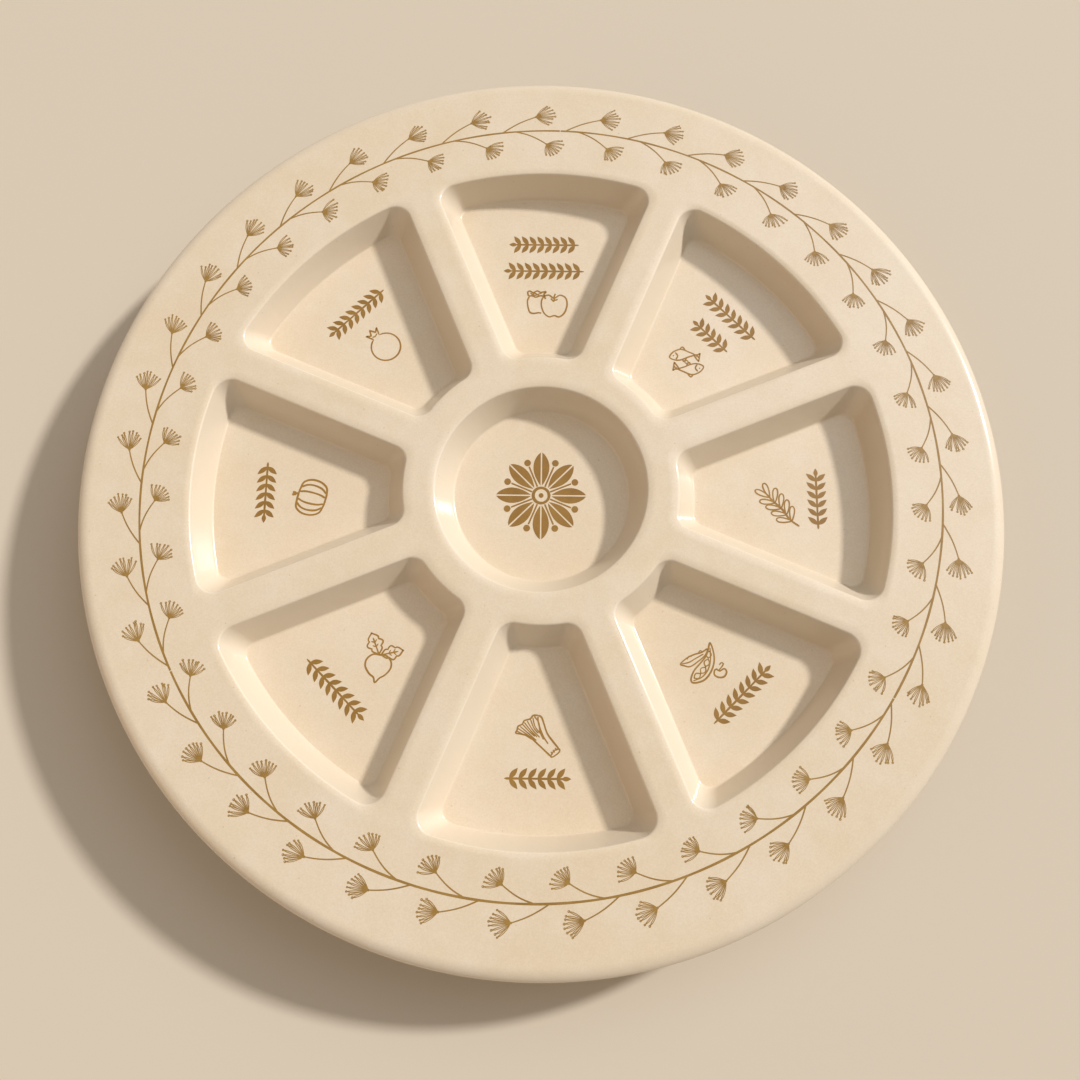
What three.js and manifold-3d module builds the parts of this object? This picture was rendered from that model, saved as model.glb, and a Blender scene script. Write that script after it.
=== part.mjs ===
// Round ceramic serving plate with eight sector wells round a centre well.
// Millimetres, Z up. The origin is on the table under the plate's centre.
// The first well lies towards +Y, and the wells are numbered clockwise seen from above.
import * as THREE from 'three';
import { mergeVertices } from 'three/addons/utils/BufferGeometryUtils.js';
import Module from 'manifold-3d';

const wasm = await Module();
wasm.setup();

// Plate seen from above
const plateDiameter = 330;
const rimWidth = 40;
const ribWidth = 11.8;
const hubRingWidth = 9.8;
const centreWellDiameter = 78;
const wellCount = 8;

// Plate in section
const wellDepth = 12;
const floorThickness = 7;
const footHeight = 13;
const rimEdgeThickness = 7;
const rimEdgeReach = 5;
const rimRootThickness = 8.5;
const bodyWallThickness = 6;
const bodyFlare = 12;
const footDiameter = 222;
const footWidth = 8;
const footTaper = 1.5;

// Slopes and roundings
const wallDraft = THREE.MathUtils.degToRad(27.1);
const lipRadius = 1.6;
const floorFillet = 1.8;
const outerCornerRadius = 6.5;
const outerCornerFloorRadius = 4.5;
const innerCornerRadius = 6;
const innerCornerFloorRadius = 4;
const undersideFillet = 7;
const baseCornerRadius = 5;
const footFillet = 2;
const footEdgeRadius = 1.2;

// Fired print
const printThickness = 0.2;
const lineWidth = 0.7;
const vineInset = 22.5;
const vineLead = 4.1;
const vineTransfers = 3;
const sprigsPerTransfer = 13;
const vineStemWidth = 0.8;
const vineBranchWidth = 0.55;
const outerBranch = { start: 1.8, reach: 12.4, rise: 6, bow: 0.4 };
const innerBranch = { start: 6.4, reach: 11.4, rise: -5.6, bow: 0.6 };
const outerFlower = { ray: 7.6, from: -33, to: 50 };
const innerFlower = { ray: 6.5, from: -90, to: 13 };
const flowerTips = 4;
const garlandRows = [0.735, 0.55];
const garlandHeight = 7.2;
const garlandLeafPitch = 3.6;
const garlandStemWidth = 1.2;
const rosetteRadius = 16.5;
const rosettePetalWidth = 5.2;
const rosetteNotchRadius = 4.6;
const rosetteEyeRadius = 2;
const rosetteDotRadius = 1.3;
const rosetteDotDistance = 13.4;

// How finely the round shapes are stepped
const rimSteps = 72;
const edgeSteps = 6;
const outerArcSteps = 10;
const innerArcSteps = 4;
const cornerSteps = 3;
const lipSteps = 3;
const filletSteps = 2;
const centreWellSteps = 48;

// Sizes that follow from the ones above
const plateRadius = plateDiameter / 2;
const baseZ = footHeight;
const floorZ = baseZ + floorThickness;
const deckZ = floorZ + wellDepth;
const wellOuterRadius = plateRadius - rimWidth;
const centreWellRadius = centreWellDiameter / 2;
const wellInnerRadius = centreWellRadius + hubRingWidth;
const wellPitch = 2 * Math.PI / wellCount;
const wallTurn = Math.PI / 2 - wallDraft;
const roundedDrop = (lipRadius + floorFillet) * (1 - Math.cos(wallTurn));
const roundedRun = (lipRadius + floorFillet) * Math.sin(wallTurn);
const floorInset = roundedRun + (wellDepth - roundedDrop) * Math.tan(wallDraft);
const wellFloorInnerRadius = wellInnerRadius + floorInset;
const wellFloorLength = wellOuterRadius - floorInset - wellFloorInnerRadius;
const vineRadius = plateRadius - vineInset;
const transferAngle = 2 * Math.PI / vineTransfers;

// Finishes
const glaze = { color: 0xe9d2b4, roughness: 0.38, metalness: 0 };
const ink = { color: 0x9f7438, roughness: 0.45, metalness: 0 };

const polar = (radius, angle) => [radius * Math.cos(angle), radius * Math.sin(angle)];

// Points of an arc about a centre, both ends included
function arc(centre, radius, from, to, steps) {
  return Array.from({ length: steps + 1 }, (_, i) => {
    const [x, y] = polar(radius, from + (to - from) * i / steps);
    return [centre[0] + x, centre[1] + y];
  });
}

// Joins runs of points end to end, dropping each repeated joint
function chain(...runs) {
  return runs.reduce((all, run) => all.concat(all.length ? run.slice(1) : run), []);
}

const atHeight = (outline, z) => outline.map(([x, y]) => [x, y, z]);
const turned = (outline, angle) => outline.map(([x, y]) => [
  x * Math.cos(angle) - y * Math.sin(angle),
  x * Math.sin(angle) + y * Math.cos(angle),
]);

// Section of a pocket: rounded lip, drafted wall, floor fillet.
// Each step gives how far the wall has come in from the lip, and how deep it is.
function pocketSection() {
  const lip = Array.from({ length: lipSteps + 1 }, (_, i) => {
    const a = wallTurn * i / lipSteps;
    return { inset: lipRadius * Math.sin(a), drop: lipRadius * (1 - Math.cos(a)) };
  });
  const foot = Array.from({ length: filletSteps + 1 }, (_, i) => {
    const a = wallTurn * (1 - i / filletSteps);
    return {
      inset: floorInset - floorFillet * Math.sin(a),
      drop: wellDepth - floorFillet * (1 - Math.cos(a)),
    };
  });
  return [...lip, ...foot];
}

// Outline of a sector well about +X, brought in by inset: sides parallel to the ribs,
// outer and inner edges concentric with the plate, four rounded corners.
function sectorOutline(inset) {
  const half = wellPitch / 2;
  const share = inset / floorInset;
  const outerCorner = THREE.MathUtils.lerp(outerCornerRadius, outerCornerFloorRadius, share);
  const innerCorner = THREE.MathUtils.lerp(innerCornerRadius, innerCornerFloorRadius, share);
  const side = ribWidth / 2 + inset;
  const outer = wellOuterRadius - inset;
  const inner = wellInnerRadius + inset;
  const cornerCentre = (distance, offset) => {
    const along = Math.sqrt(distance ** 2 - offset ** 2);
    return turned([[along, -offset]], half)[0];
  };
  const outerCentre = cornerCentre(outer - outerCorner, side + outerCorner);
  const innerCentre = cornerCentre(inner + innerCorner, side + innerCorner);
  const outerAngle = Math.atan2(outerCentre[1], outerCentre[0]);
  const innerAngle = Math.atan2(innerCentre[1], innerCentre[0]);
  const sideNormal = half + Math.PI / 2;
  const upper = [
    ...arc([0, 0], outer, 0, outerAngle, outerArcSteps / 2),
    ...arc(outerCentre, outerCorner, outerAngle, sideNormal, cornerSteps).slice(1),
    ...arc(innerCentre, innerCorner, sideNormal, Math.PI + innerAngle, cornerSteps),
    ...arc([0, 0], inner, innerAngle, 0, innerArcSteps / 2).slice(1),
  ];
  const lower = upper.slice(1, -1).reverse().map(([x, y]) => [x, -y]);
  return [...upper, ...lower];
}

const roundOutline = (inset) => arc([0, 0], centreWellRadius - inset, 0, 2 * Math.PI, centreWellSteps)
  .slice(0, -1);

// Section of the outside: rim edge rounded as a half ellipse, underside of the rim, body, foot ring.
function outsideSection() {
  const bead = arc([0, 0], 1, Math.PI / 2, -Math.PI / 2, edgeSteps).map(([across, up]) => [
    plateRadius - rimEdgeReach * (1 - across),
    deckZ - rimEdgeThickness / 2 * (1 - up),
  ]);
  const bodyTop = wellOuterRadius + bodyWallThickness;
  const footOuter = footDiameter / 2;
  const footInner = footOuter - footWidth;
  const corners = [
    { at: [plateRadius - rimEdgeReach, deckZ - rimEdgeThickness], radius: 0 },
    { at: [bodyTop, deckZ - rimRootThickness], radius: undersideFillet },
    { at: [bodyTop - bodyFlare, baseZ], radius: baseCornerRadius },
    { at: [footOuter + footTaper, baseZ], radius: footFillet },
    { at: [footOuter, 0], radius: footEdgeRadius },
    { at: [footInner, 0], radius: footEdgeRadius },
    { at: [footInner - footTaper, baseZ], radius: 0 },
  ];
  return chain(bead, roundedLine(corners));
}

// A polyline with its inner corners rounded in two chords each, no fillet longer than its sides allow
function roundedLine(corners) {
  return corners.flatMap(({ at, radius }, i) => {
    if (radius === 0) return [at];
    const here = new THREE.Vector2(...at);
    const back = new THREE.Vector2(...corners[i - 1].at).sub(here);
    const on = new THREE.Vector2(...corners[i + 1].at).sub(here);
    const opening = Math.acos(back.dot(on) / (back.length() * on.length()));
    const longest = 0.45 * Math.min(back.length(), on.length());
    const reach = Math.min(radius / Math.tan(opening / 2), longest);
    const start = here.clone().addScaledVector(back.normalize(), reach);
    const end = here.clone().addScaledVector(on.normalize(), reach);
    const bend = new THREE.QuadraticBezierCurve(start, here, end);
    return [start, bend.getPoint(0.5), end].map((p) => [p.x, p.y]);
  });
}

// Collects triangles whose corners are given as points
class Skin {
  constructor() {
    this.corners = [];
  }

  face(...points) {
    points.forEach((point) => this.corners.push(...point));
  }

  // Band between two rings of equal count; the first ring is the one further up the surface's left
  band(first, second) {
    first.forEach((a, i) => {
      const next = (i + 1) % first.length;
      this.face(a, first[next], second[next]);
      this.face(a, second[next], second[i]);
    });
  }

  // Flat face inside an outline and outside its holes, facing up or down
  cap(outline, holes, z, facing) {
    const toVectors = (ring) => ring.map(([x, y]) => new THREE.Vector2(x, y));
    const points = atHeight([outline, ...holes].flat(), z);
    const faces = THREE.ShapeUtils.triangulateShape(toVectors(outline), holes.map(toVectors));
    faces.forEach(([a, b, c]) => {
      const area = THREE.ShapeUtils.area(toVectors([points[a], points[b], points[c]]));
      if (area * facing > 0) this.face(points[a], points[b], points[c]);
      else this.face(points[a], points[c], points[b]);
    });
  }

  geometry() {
    const skin = new THREE.BufferGeometry();
    skin.setAttribute('position', new THREE.Float32BufferAttribute(this.corners, 3));
    const merged = mergeVertices(skin);
    merged.computeVertexNormals();
    return merged;
  }
}

// Plate body: flat deck, nine pockets sunk in it, rounded rim, foot ring
function plateBody() {
  const skin = new Skin();
  const section = pocketSection();
  const pocket = (outlineAt) => {
    const rings = section.map(({ inset, drop }) => atHeight(outlineAt(inset), deckZ - drop));
    rings.slice(1).forEach((ring, i) => skin.band(rings[i], ring));
    skin.cap(outlineAt(floorInset), [], floorZ, 1);
    return outlineAt(0);
  };
  const wells = Array.from({ length: wellCount }, (_, i) => {
    const angle = wellAngle(i);
    return pocket((inset) => turned(sectorOutline(inset), angle));
  });
  const centre = pocket(roundOutline);
  const rings = outsideSection().map(([radius, z]) => {
    const ring = arc([0, 0], radius, 0, 2 * Math.PI, rimSteps).slice(0, -1);
    return atHeight(ring, z);
  });
  const flat = (ring) => ring.map(([x, y]) => [x, y]);
  skin.cap(flat(rings[0]), [...wells, centre], deckZ, 1);
  rings.slice(1).forEach((ring, i) => skin.band(ring, rings[i]));
  skin.cap(flat(rings.at(-1)), [], baseZ, -1);
  return skin.geometry();
}

// Direction of a well's middle line
function wellAngle(index) {
  return Math.PI / 2 - index * wellPitch;
}

// A closed outline as a thin solid print
function printed(outline, hole) {
  const toVectors = (ring) => ring.map(([x, y]) => new THREE.Vector2(x, y));
  const shape = new THREE.Shape(toVectors(outline));
  if (hole) shape.holes.push(new THREE.Path(toVectors(hole)));
  return new THREE.ExtrudeGeometry(shape, { depth: printThickness, bevelEnabled: false });
}

// Joins overlapping prints into one solid
function joined(prints) {
  const solids = prints.map((print) => {
    const bare = print.clone();
    bare.deleteAttribute('normal');
    bare.deleteAttribute('uv');
    const merged = mergeVertices(bare);
    return new wasm.Manifold(new wasm.Mesh({
      numProp: 3,
      vertProperties: merged.attributes.position.array,
      triVerts: new Uint32Array(merged.index.array),
    }));
  });
  const mesh = solids.reduce((all, solid) => all.add(solid)).getMesh();
  const whole = new THREE.BufferGeometry();
  whole.setAttribute('position', new THREE.BufferAttribute(mesh.vertProperties, 3));
  whole.setIndex(new THREE.BufferAttribute(mesh.triVerts, 1));
  whole.computeVertexNormals();
  return whole;
}

// Left and right edges of a line through points, half a width to each side, mitred at the bends
function edges(points, width, closed) {
  const count = points.length;
  const direction = (i) => {
    const [from, to] = closed ? [points[(i + count) % count], points[(i + 1) % count]]
      : [points[Math.min(Math.max(i, 0), count - 2)], points[Math.min(Math.max(i, 0), count - 2) + 1]];
    return new THREE.Vector2(to[0] - from[0], to[1] - from[1]).normalize();
  };
  const side = (sign) => points.map(([x, y], i) => {
    const before = direction(i - 1);
    const bisector = direction(i).add(before).normalize();
    const mitre = Math.min(1 / Math.max(bisector.dot(before), 0.1), 2);
    const reach = sign * mitre * width / 2;
    return [x - bisector.y * reach, y + bisector.x * reach];
  });
  return [side(1), side(-1)];
}

// An open line of a given width
function stroke(points, width = lineWidth) {
  const [left, right] = edges(points, width, false);
  return printed([...right, ...left.reverse()]);
}

// A closed line of a given width
function loop(points, width = lineWidth) {
  const clockwise = THREE.ShapeUtils.area(points.map(([x, y]) => new THREE.Vector2(x, y))) < 0;
  const [inside, outside] = edges(clockwise ? [...points].reverse() : points, width, true);
  return printed(outside, inside);
}

const oval = (x, y, rx, ry, steps) => arc([0, 0], 1, 0, 2 * Math.PI, steps)
  .slice(0, -1)
  .map(([u, v]) => [x + rx * u, y + ry * v]);

// A smooth line through a few points, in equal steps
function smooth(points, steps, closed = false) {
  const spread = points.map(([x, y]) => new THREE.Vector3(x, y, 0));
  const curve = new THREE.CatmullRomCurve3(spread, closed, 'centripetal');
  const line = curve.getPoints(steps).map((p) => [p.x, p.y]);
  return closed ? line.slice(0, -1) : line;
}

// A pointed leaf from root to tip
function leaf(root, tip, width) {
  const along = [tip[0] - root[0], tip[1] - root[1]];
  const length = Math.hypot(...along);
  const across = [-along[1] / length, along[0] / length];
  const at = (share, side) => [
    root[0] + along[0] * share + across[0] * side * width / 2,
    root[1] + along[1] * share + across[1] * side * width / 2,
  ];
  return [root, at(0.3, -0.85), at(0.6, -1), tip, at(0.6, 1), at(0.3, 0.85)];
}

// Lays a drawing whose x runs clockwise along the vine and y outwards onto the rim
function alongVine(points) {
  return points.map(([x, y]) => polar(vineRadius + y, -x / vineRadius));
}

// A flower head: a fan of rays with a tip each, notched between the tips
function flowerHead(root, { ray, from, to }) {
  const rays = 2 * flowerTips - 1;
  const rim = Array.from({ length: rays }, (_, i) => {
    const angle = THREE.MathUtils.degToRad(from + (to - from) * i / (rays - 1));
    const [x, y] = polar(i % 2 ? ray * 0.8 : ray, angle);
    return [root[0] + x, root[1] + y];
  });
  return printed(alongVine([root, ...rim]));
}

// One curved branch with its flower head
function sprig(x, { start, reach, rise, bow }, flower) {
  const root = [x + start, 0];
  const apex = [x + start + reach, rise];
  const middle = [x + start + reach / 2, rise / 2 + bow];
  const calyx = apex.map((value, axis) => THREE.MathUtils.lerp(value, middle[axis], 0.12));
  return [stroke(alongVine([root, middle, apex]), vineBranchWidth), flowerHead(calyx, flower)];
}

// One transfer of the rim vine: a stem along the rim with a branch outwards and inwards at each step
function vineTransfer() {
  const length = transferAngle * vineRadius;
  const step = length / sprigsPerTransfer;
  const gap = 0.3;
  const stemSteps = 2 * sprigsPerTransfer;
  const stem = Array.from({ length: stemSteps + 1 }, (_, i) => [(length - gap) * i / stemSteps, 0]);
  const prints = [stroke(alongVine(stem), vineStemWidth)];
  for (let i = 0; i < sprigsPerTransfer; i += 1) {
    prints.push(...sprig(i * step, outerBranch, outerFlower));
    prints.push(...sprig(i * step, innerBranch, innerFlower));
  }
  return joined(prints);
}

// A straight leafy garland along Y, in silhouette
function garland(length) {
  const leaves = Math.round(length / garlandLeafPitch);
  const pitch = length / (leaves + 1);
  const edge = [];
  for (let i = 0; i < leaves; i += 1) {
    const y = -length / 2 + pitch * (i + 1);
    edge.push([garlandStemWidth / 2, y - pitch * 0.45], [garlandHeight / 2, y + pitch * 0.3]);
  }
  const far = edge.map(([x, y]) => [-x, y]).reverse();
  return printed([[0, -length / 2], ...edge, [0, length / 2], ...far]);
}

// The centre well's rosette: one outline of petals with a stalked dot between each two
function rosette() {
  const outline = Array.from({ length: wellCount }, (_, i) => {
    const petal = [[0.42, -0.75], [0.65, -1], [1, 0], [0.65, 1], [0.42, 0.75]].map(([along, across]) => {
      return [along * rosetteRadius, across * rosettePetalWidth / 2];
    });
    const stalk = [
      [rosetteNotchRadius, -lineWidth / 2],
      [rosetteDotDistance - rosetteDotRadius, -lineWidth / 2],
      ...oval(rosetteDotDistance, 0, rosetteDotRadius, rosetteDotRadius, 8).slice(5),
      ...oval(rosetteDotDistance, 0, rosetteDotRadius, rosetteDotRadius, 8).slice(0, 4),
      [rosetteDotDistance - rosetteDotRadius, lineWidth / 2],
      [rosetteNotchRadius, lineWidth / 2],
    ];
    return [...turned(petal, i * wellPitch), ...turned(stalk, (i + 0.5) * wellPitch)];
  }).flat();
  return printed(outline, oval(0, 0, rosetteEyeRadius, rosetteEyeRadius, 12));
}

// Pictograms of the foods, each drawn upright about its own middle
function appleAndHoney() {
  const appleSide = [[6.4, 3.5], [8.1, 0.6], [6.6, -4]];
  const appleFarSide = appleSide.map(([x, y]) => [6.4 - x, y]).reverse();
  const apple = smooth([[3.2, 2.7], ...appleSide, [3.2, -5.8], ...appleFarSide], 16, true);
  return joined([
    loop(apple),
    stroke([[3, 1.8], [3.1, 3.2], [3.4, 4.4]]),
    stroke(smooth([[-6.2, 3.4], [-7.6, 1.2], [-7.6, -3], [-6, -5], [-2.4, -5.1], [0.6, -4.6]], 10)),
    stroke([[-2.6, 3.4], [-1.4, 2.4], [-0.9, 1.6]]),
    loop([[-7, 3.3], [-1.9, 3.3], [-1.9, 5.9], [-7, 5.9]]),
  ]);
}

function fishPair() {
  const body = [[-6.2, 2.4], [-4, 4.8], [-0.8, 5.4], [3.2, 3], [-0.3, -0.2], [-4.2, 0]];
  const tail = [[2.9, 3], [6.3, 5.2], [5.4, 3.1], [6.1, 1]];
  const gill = [[-3.4, 5], [-2.6, 2.6], [-3.4, 0.2]];
  const flip = (points) => turned(points, Math.PI);
  return joined([
    loop(smooth(body, 12, true)),
    loop(tail),
    stroke(gill),
    loop(smooth(flip(body), 12, true)),
    loop(flip(tail)),
    stroke(flip(gill)),
  ]);
}

function dateSprig() {
  const stem = stroke([[0.2, -10.4], [0, -3], [0, 4.6]]);
  const fruit = [-6, -2.6, 0.8, 4].flatMap((y) => [1, -1].map((side) => {
    return printed(leaf([0, y - 1.4], [side * 4.2, y + 2.6], 2.6));
  }));
  return joined([stem, printed(leaf([0, 4], [0, 9.4], 2.8)), ...fruit]);
}

function beanPods() {
  const tall = [[-4, -7], [-0.4, -5.2], [3.2, 1], [2.6, 7.2], [0, 3.4], [-3.4, -2.4]];
  const low = [[-8, -1.2], [-3.6, -1.4], [1.6, 4.4], [-2.4, 3.2], [-5.2, 1.6]];
  const bean = (x, y) => loop(oval(x, y, 1.9, 1.5, 8));
  return joined([
    loop(smooth(tall, 14, true)),
    loop(smooth(low, 12, true)),
    stroke([[-2.8, -4.6], [0.8, 0.8], [2.2, 5.6]]),
    bean(2.7, -4.1),
    bean(5.9, -3),
  ]);
}

function leek() {
  const blades = [-5, -3, -1, 1, 3, 5].map((x) => {
    return stroke(smooth([[x * 0.24, -6.6], [x * 0.4, 0], [x, 7.2 - Math.abs(x) * 0.35]], 4));
  });
  const crown = stroke(smooth([[-5, 5.4], [-2.6, 6.8], [0, 7.3], [2.6, 6.8], [5, 5.4]], 6));
  return joined([...blades, crown, loop([[-1.7, -6.8], [-1.2, -8.4], [1.2, -8.4], [1.7, -6.8], [0, -6.1]])]);
}

function beet() {
  const rootSide = [[3.4, 0.6], [4.6, -2.8], [2.4, -6]];
  const rootFarSide = rootSide.map(([x, y]) => [-x, y]).reverse();
  const root = [[0, 1.6], ...rootSide, [0.2, -8.6], ...rootFarSide];
  const leafLoop = (tip, width) => loop(leaf([0, 1.4], tip, width));
  return joined([
    loop(smooth(root, 16, true)),
    leafLoop([-4.6, 8.2], 4),
    leafLoop([6.2, 6], 4),
    stroke([[0, 1.4], [-3, 5.6]]),
    stroke([[0, 1.4], [4, 4.2]]),
  ]);
}

function gourd() {
  const shell = [1, 0.7, 0.3].map((share) => loop(oval(0, -0.4, 6.4 * share, 5.1, 16)));
  return joined([...shell, stroke([[0, 4.2], [0, 5.8], [-0.4, 7.2]], 2 * lineWidth)]);
}

function pomegranate() {
  const crown = [[-1.6, 4.2], [-2.8, 7.6], [-1, 6.3], [0, 8.2], [1, 6.3], [2.8, 7.6], [1.6, 4.2]];
  return joined([loop(oval(0, -1.2, 5.6, 5.6, 20)), stroke(crown)]);
}

// What each well carries: its pictogram's place along the floor as a share of the floor's length
// from its inner end, its step aside, its turn in degrees, and its garlands' lengths, outer first
const wells = [
  { name: 'apple_honey', draw: appleAndHoney, along: 0.33, aside: -1.2, turn: 0, garlands: [27, 31] },
  { name: 'fish', draw: fishPair, along: 0.32, aside: -1, turn: 0, garlands: [26, 18] },
  { name: 'date', draw: dateSprig, along: 0.49, aside: -3, turn: 40, garlands: [23] },
  { name: 'bean', draw: beanPods, along: 0.45, aside: -2.5, turn: 0, garlands: [29] },
  { name: 'leek', draw: leek, along: 0.49, aside: 0, turn: 43, garlands: [23] },
  { name: 'beet', draw: beet, along: 0.43, aside: 2.6, turn: -5, garlands: [30] },
  { name: 'gourd', draw: gourd, along: 0.465, aside: 2.2, turn: 80, garlands: [23] },
  { name: 'pomegranate', draw: pomegranate, along: 0.457, aside: 1.2, turn: 45, garlands: [28] },
];

function named(name, geometry, finish, z = 0) {
  const mesh = new THREE.Mesh(geometry, new THREE.MeshStandardMaterial(finish));
  mesh.name = name;
  mesh.position.z = z;
  return mesh;
}

const plate = new THREE.Group();
plate.add(named('plate_body', plateBody(), glaze));

const transfer = vineTransfer();
for (let i = 0; i < vineTransfers; i += 1) {
  const vine = named(`rim_vine_print_${i + 1}`, transfer, ink, deckZ);
  vine.rotation.z = Math.PI / 2 - vineLead / vineRadius - i * transferAngle;
  plate.add(vine);
}

plate.add(named('centre_rosette_print', rosette(), ink, floorZ));

wells.forEach(({ name, draw, along, aside, turn, garlands }, i) => {
  const well = new THREE.Group();
  well.rotation.z = wellAngle(i);
  const pictogram = named(`${name}_pictogram`, draw(), ink, floorZ);
  pictogram.position.x = wellFloorInnerRadius + along * wellFloorLength;
  pictogram.position.y = aside;
  pictogram.rotation.z = THREE.MathUtils.degToRad(turn) - wellAngle(i);
  well.add(pictogram);
  garlands.forEach((length, row) => {
    const print = named(`${name}_garland_${row + 1}`, garland(length), ink, floorZ);
    print.position.x = wellFloorInnerRadius + garlandRows[row] * wellFloorLength;
    well.add(print);
  });
  plate.add(well);
});

export default plate;
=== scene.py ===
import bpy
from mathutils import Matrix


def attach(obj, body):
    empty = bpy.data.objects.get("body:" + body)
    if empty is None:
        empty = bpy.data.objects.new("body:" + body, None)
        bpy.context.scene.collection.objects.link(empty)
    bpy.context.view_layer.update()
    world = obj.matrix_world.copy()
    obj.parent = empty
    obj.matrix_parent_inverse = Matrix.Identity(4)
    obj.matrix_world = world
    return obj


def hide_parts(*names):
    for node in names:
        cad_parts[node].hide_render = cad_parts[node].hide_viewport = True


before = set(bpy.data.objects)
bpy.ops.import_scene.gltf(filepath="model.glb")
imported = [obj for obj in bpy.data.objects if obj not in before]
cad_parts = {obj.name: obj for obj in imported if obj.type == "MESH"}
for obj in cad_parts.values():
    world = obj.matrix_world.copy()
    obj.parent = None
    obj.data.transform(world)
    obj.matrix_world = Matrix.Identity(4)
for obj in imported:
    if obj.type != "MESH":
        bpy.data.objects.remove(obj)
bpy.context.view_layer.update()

import bmesh
import bpy
import numpy as np
from mathutils import Vector

# Plate, in millimetres, from above
PLATE_RADIUS = 165.0
WELL_OUTER = 125.0
WELL_INNER = 48.8
CENTRE_WELL = 38.4
RIB_HALF = 5.9
WELLS = 8
HALF_PITCH = np.pi / WELLS

# Plate in section
DECK_Z = 32.0
FLOOR_Z = 20.0
BASE_Z = 13.0
DEPTH = DECK_Z - FLOOR_Z
WALL_TURN = np.radians(62.1)
LIP = 1.2
FILLET = 1.3
SHOULDER, SHOULDER_DROP = 3.0, 0.3
EDGE_ACROSS, EDGE_DOWN = 5.0, 3.5

# How far in a floor starts: across both arcs of the wall, and down the slope between them
FLOOR_INSET = (LIP + FILLET) * np.sin(WALL_TURN) + (
    DEPTH - (LIP + FILLET) * (1 - np.cos(WALL_TURN))) / np.tan(WALL_TURN)

# How far a wall leans, against the one at a well's inner end: outer wall, sides, centre well
OUTER_LEAN, SIDE_LEAN, HUB_LEAN = 0.68, 0.9, 0.88

# The run along a well's middle line on which its prints are placed by shares, and in whose middle the
# grid of its floor has its pole
PRINTS_FROM = WELL_INNER + FLOOR_INSET
PRINTS_RUN = WELL_OUTER - FLOOR_INSET - PRINTS_FROM

# How the surface grid is shared round a well: half outer arc, corner half, side, half inner arc
ARC_OUT, CORNER, SIDE, ARC_IN = 14, 6, 22, 8

# Wedge of deck round a well, shares of the way in from its outline to the well's shoulder, and radii
# of the deck's rings inside and outside the wedges
SECTOR_OUT = 127.6
SECTOR_IN = 43.8
DECK_SHARES = (0, 0.5, 0.8, 0.94)
HUB_DECK = (SECTOR_IN, 42.8, 41.9)
RIM_DECK = (SECTOR_OUT, 136, 148, 156, 159.5)

# Corners of a well's outline at its mouth, outer and inner, and how much tighter they are at its floor
CORNER_OUT, CORNER_IN, CORNER_TIGHTER = 6.5, 6.0, 2.0

# Steps of a pocket's wall: shoulder, each arc, slope, then the floor as shares of the way to its pole
SHOULDER_STEPS, ARC_STEPS, SLOPE_STEPS = 6, 8, 4
FLOOR_SHARES = (0.04, 0.2, 0.45, 0.72, 1.0)

# Corners of the underside as distance, height and rounding: rim, body, foot ring and recess
UNDERSIDE = (
    (PLATE_RADIUS - EDGE_ACROSS, DECK_Z - 2 * EDGE_DOWN, 0), (131, DECK_Z - 8.5, 7), (119, BASE_Z, 5),
    (112.5, BASE_Z, 2), (111, 0, 1.2), (103, 0, 1.2), (101.5, BASE_Z, 1.5), (60, BASE_Z, 0),
)
RECESS_INWARDS = (30, 0)

# Fired print: rise over the glaze and depth under it, how far the bands of a stroke differ in height
# and in how many levels, the step from stroke to stroke, and a drawn line's half width
PRINT_RISE, PRINT_SUNK = 0.03, 0.05
BAND_SPREAD, BAND_LEVELS = 0.02, 97
STROKE_STEP = 0.0008
LINE = 0.31

# Rim vine: its stem, its arcs and steps, where the stem and the branches start in degrees clockwise
# from +Y, and the gap between two arcs in radians
STEM_RADIUS = 142.0
ARCS, STEPS_ROUND = 3, 39
STEM_START, FIRST_BRANCH = 1.65, 2.35
ARC_GAP = 0.002

# Wander of the hand-laid print, each as size, times round and place: the stem's radius in millimetres,
# and how far ahead of even spacing the vine runs, in degrees, with its mean
STEM_WANDER = ((1.24, 1, 0.12), (0.95, 2, 0.91))
AHEAD_MEAN = 0.32
AHEAD_WANDER = ((0.48, 1, 1.31), (0.93, 2, 0.65), (0.22, 3, 0.62))

# Fans of the vine: angle after the branch's start and along it, rise and bow, ray lengths and angles
FANS = (
    (0.0, 4.9, 6.1, 0.5, (6.1, 7.1, 5.8), 50, -34),
    (1.9, 4.6, -5.7, 0.7, (5.9, 5.5, 4.8), 13, -90),
)
RAYS = 8

# Half widths of the vine's branches and rays, each at the start and by how much it grows to the end,
# how far the two lines of a ray bow apart, the ring's half width, smallest radius and spread of it,
# and the dot from which a fan springs
BRANCH_HALF, BRANCH_GROWS = 0.26, -0.05
RAY_HALF, RAY_GROWS = 0.1, 0.03
RAY_BOW = 0.46
RING_HALF, RING_RADIUS, RING_SPREAD = 0.12, 0.24, 0.1
HEAD_DOT = 0.42

# Garland: steps between its leaves, and how far a leaf reaches aside, its width and the top leaf's
LEAF_PITCH = 3.6
LEAF_REACH, LEAF_WIDTH, TOP_LEAF_WIDTH = 3.55, 1.75, 1.5

# Rosette: its petals' start, length and fullness, the stalks' ends, the dots' place and size, the eye
PETAL_FROM, PETAL_LENGTH, PETAL_FULLNESS = 3.9, 12.5, 2.6
STALK_FROM, STALK_TO = 3.6, 12.6
STALK_DOTS_AT, STALK_DOT = 13.4, 1.25
EYE_RADIUS, EYE_LINE, EYE_DOT = 2.9, 0.55, 0.9

# Stage, in metres: half the table's side, what the lights face, and the camera's place and aim
TABLE_HALF = 4
LIGHT_AIM = (0, 0, 0.02)
CAMERA_AT, CAMERA_AIM = (0.00073, -0.09765, 0.37407), (-0.00018, -0.0195, 0.032)


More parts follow.
